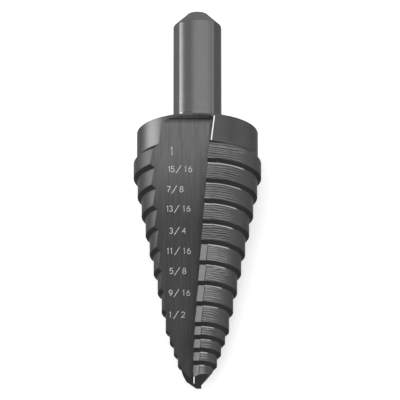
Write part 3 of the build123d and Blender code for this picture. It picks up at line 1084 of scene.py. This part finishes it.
def view_axes():
    """Rows are the picture's right, its up, and the way to the camera, where the drill lies."""
    right = np.array([1.0, 0.0, 0.0])
    toward = np.array([0.0, -cos(VIEW_TILT), -sin(VIEW_TILT)])
    return np.array([right, np.cross(toward, right), toward]) @ rest_axes().T


def add_camera():
    """The camera stands so far off that the picture's width fills its lens."""
    right, up, toward = view_axes()
    data = bpy.data.cameras.new("camera")
    data.lens, data.sensor_width = LENS, SENSOR
    distance = PICTURE_WIDTH / PICTURE_SCALE * MM * LENS / SENSOR
    camera = new_object("camera", data)
    middle = POINT + LOOK_RIGHT * right + LOOK_UP * up - LOOK_UP * sin(VIEW_TILT) * toward
    turned = Matrix(np.array([right, up, toward]).T.tolist()).to_4x4()
    camera.matrix_world = Matrix.Translation(Vector(middle + distance * toward)) @ turned
    data.clip_start, data.clip_end = distance * CLIP_NEAR, distance * CLIP_FAR
    bpy.context.scene.camera = camera


# Softboxes: name, direction as right, up and toward in the picture, distance, width and height in metres,
# and watts
SOFTBOXES = (
    ("left softbox", (-0.938, 0.3, -0.17), 0.5, 0.1, 0.3, 0.64),
    ("top softbox", (0.33, 0.61, 0.72), 0.5, 0.7, 0.8, 1.25),
    ("front softbox", (0.0, 0.1, 1.0), 0.7, 0.5, 0.4, 0.54),
)


def add_softbox(name, way, distance, width, height, watts):
    """A rectangular area lamp that faces the drill's middle from a direction of the picture."""
    data = bpy.data.lights.new(name, "AREA")
    data.shape = "RECTANGLE"
    data.size, data.size_y, data.energy = width, height, watts
    lamp = new_object(name, data)
    direction = unit(np.array(way)) @ view_axes()
    middle = np.array([0, 0, POINT[2]])
    lamp.location = Vector(middle + direction * distance)
    lamp.rotation_mode = "QUATERNION"
    lamp.rotation_quaternion = Vector(direction).to_track_quat("Z", "Y")


class STEPDRILL_OT_body(bpy.types.Operator):
    """Build the drill's steel body in place of the plain solid"""

    bl_idname = "stepdrill.body"
    bl_label = "Drill Body"

    def execute(self, context):
        scene = context.scene
        materials = drill_materials(scene.drill_colours)
        body = new_object("step_drill_body", drill_mesh(scene.drill_sizes, materials))
        even = body.modifiers.new("even shading", "WEIGHTED_NORMAL")
        even.keep_sharp = True
        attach(body, "root")
        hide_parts(NODE)
        return {"FINISHED"}


class STEPDRILL_OT_numbers(bpy.types.Operator):
    """Etch the diameter of each large land on the flute floor"""

    bl_idname = "stepdrill.numbers"
    bl_label = "Size Numbers"

    def execute(self, context):
        scene = context.scene
        mesh = numbers_mesh(scene.drill_sizes)
        mesh.materials.append(number_material(scene.drill_colours))
        numbers = new_object("size_numbers", mesh)
        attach(numbers, "root")
        return {"FINISHED"}


# Width of the paper in metres, and strength of the light from all round
FLOOR_SIZE = 4.0
WORLD_LIGHT = 0.72


class STEPDRILL_OT_studio(bpy.types.Operator):
    """Lay out the paper floor, the softboxes and the camera"""

    bl_idname = "stepdrill.studio"
    bl_label = "Studio"

    def execute(self, context):
        scene = context.scene
        mesh = bpy.data.meshes.new("floor")
        half = FLOOR_SIZE / 2
        corners = [(-half, -half, 0.0), (half, -half, 0.0), (half, half, 0.0), (-half, half, 0.0)]
        mesh.from_pydata(corners, [], [(0, 1, 2, 3)])
        mesh.materials.append(floor_material(scene.drill_colours))
        new_object("floor", mesh)
        world = bpy.data.worlds.new("studio air")
        world.use_nodes = True
        air = world.node_tree.nodes["Background"].inputs
        air["Color"].default_value = WHITE
        air["Strength"].default_value = WORLD_LIGHT
        scene.world = world
        for softbox in SOFTBOXES:
            add_softbox(*softbox)
        add_camera()
        scene.view_settings.view_transform = "Standard"
        return {"FINISHED"}


class STEPDRILL_PT_panel(bpy.types.Panel):
    bl_label = "Step Drill"
    bl_idname = "STEPDRILL_PT_panel"
    bl_space_type = "VIEW_3D"
    bl_region_type = "UI"
    bl_category = "Step Drill"

    def draw(self, context):
        for operator in OPERATORS:
            self.layout.operator(operator.bl_idname)
        for settings in (context.scene.drill_sizes, context.scene.drill_colours):
            column = self.layout.column()
            for name in settings.__annotations__:
                column.prop(settings, name)


OPERATORS = (STEPDRILL_OT_body, STEPDRILL_OT_numbers, STEPDRILL_OT_studio)
CLASSES = (DrillSizes, DrillColours, *OPERATORS, STEPDRILL_PT_panel)


def register():
    for made in CLASSES:
        bpy.utils.register_class(made)
    bpy.types.Scene.drill_sizes = PointerProperty(type=DrillSizes)
    bpy.types.Scene.drill_colours = PointerProperty(type=DrillColours)


def unregister():
    del bpy.types.Scene.drill_sizes
    del bpy.types.Scene.drill_colours
    for made in reversed(CLASSES):
        bpy.utils.unregister_class(made)


def main():
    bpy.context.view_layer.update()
    register()
    bpy.ops.stepdrill.body()
    bpy.ops.stepdrill.numbers()
    bpy.ops.stepdrill.studio()


if __name__ == "__main__":
    main()
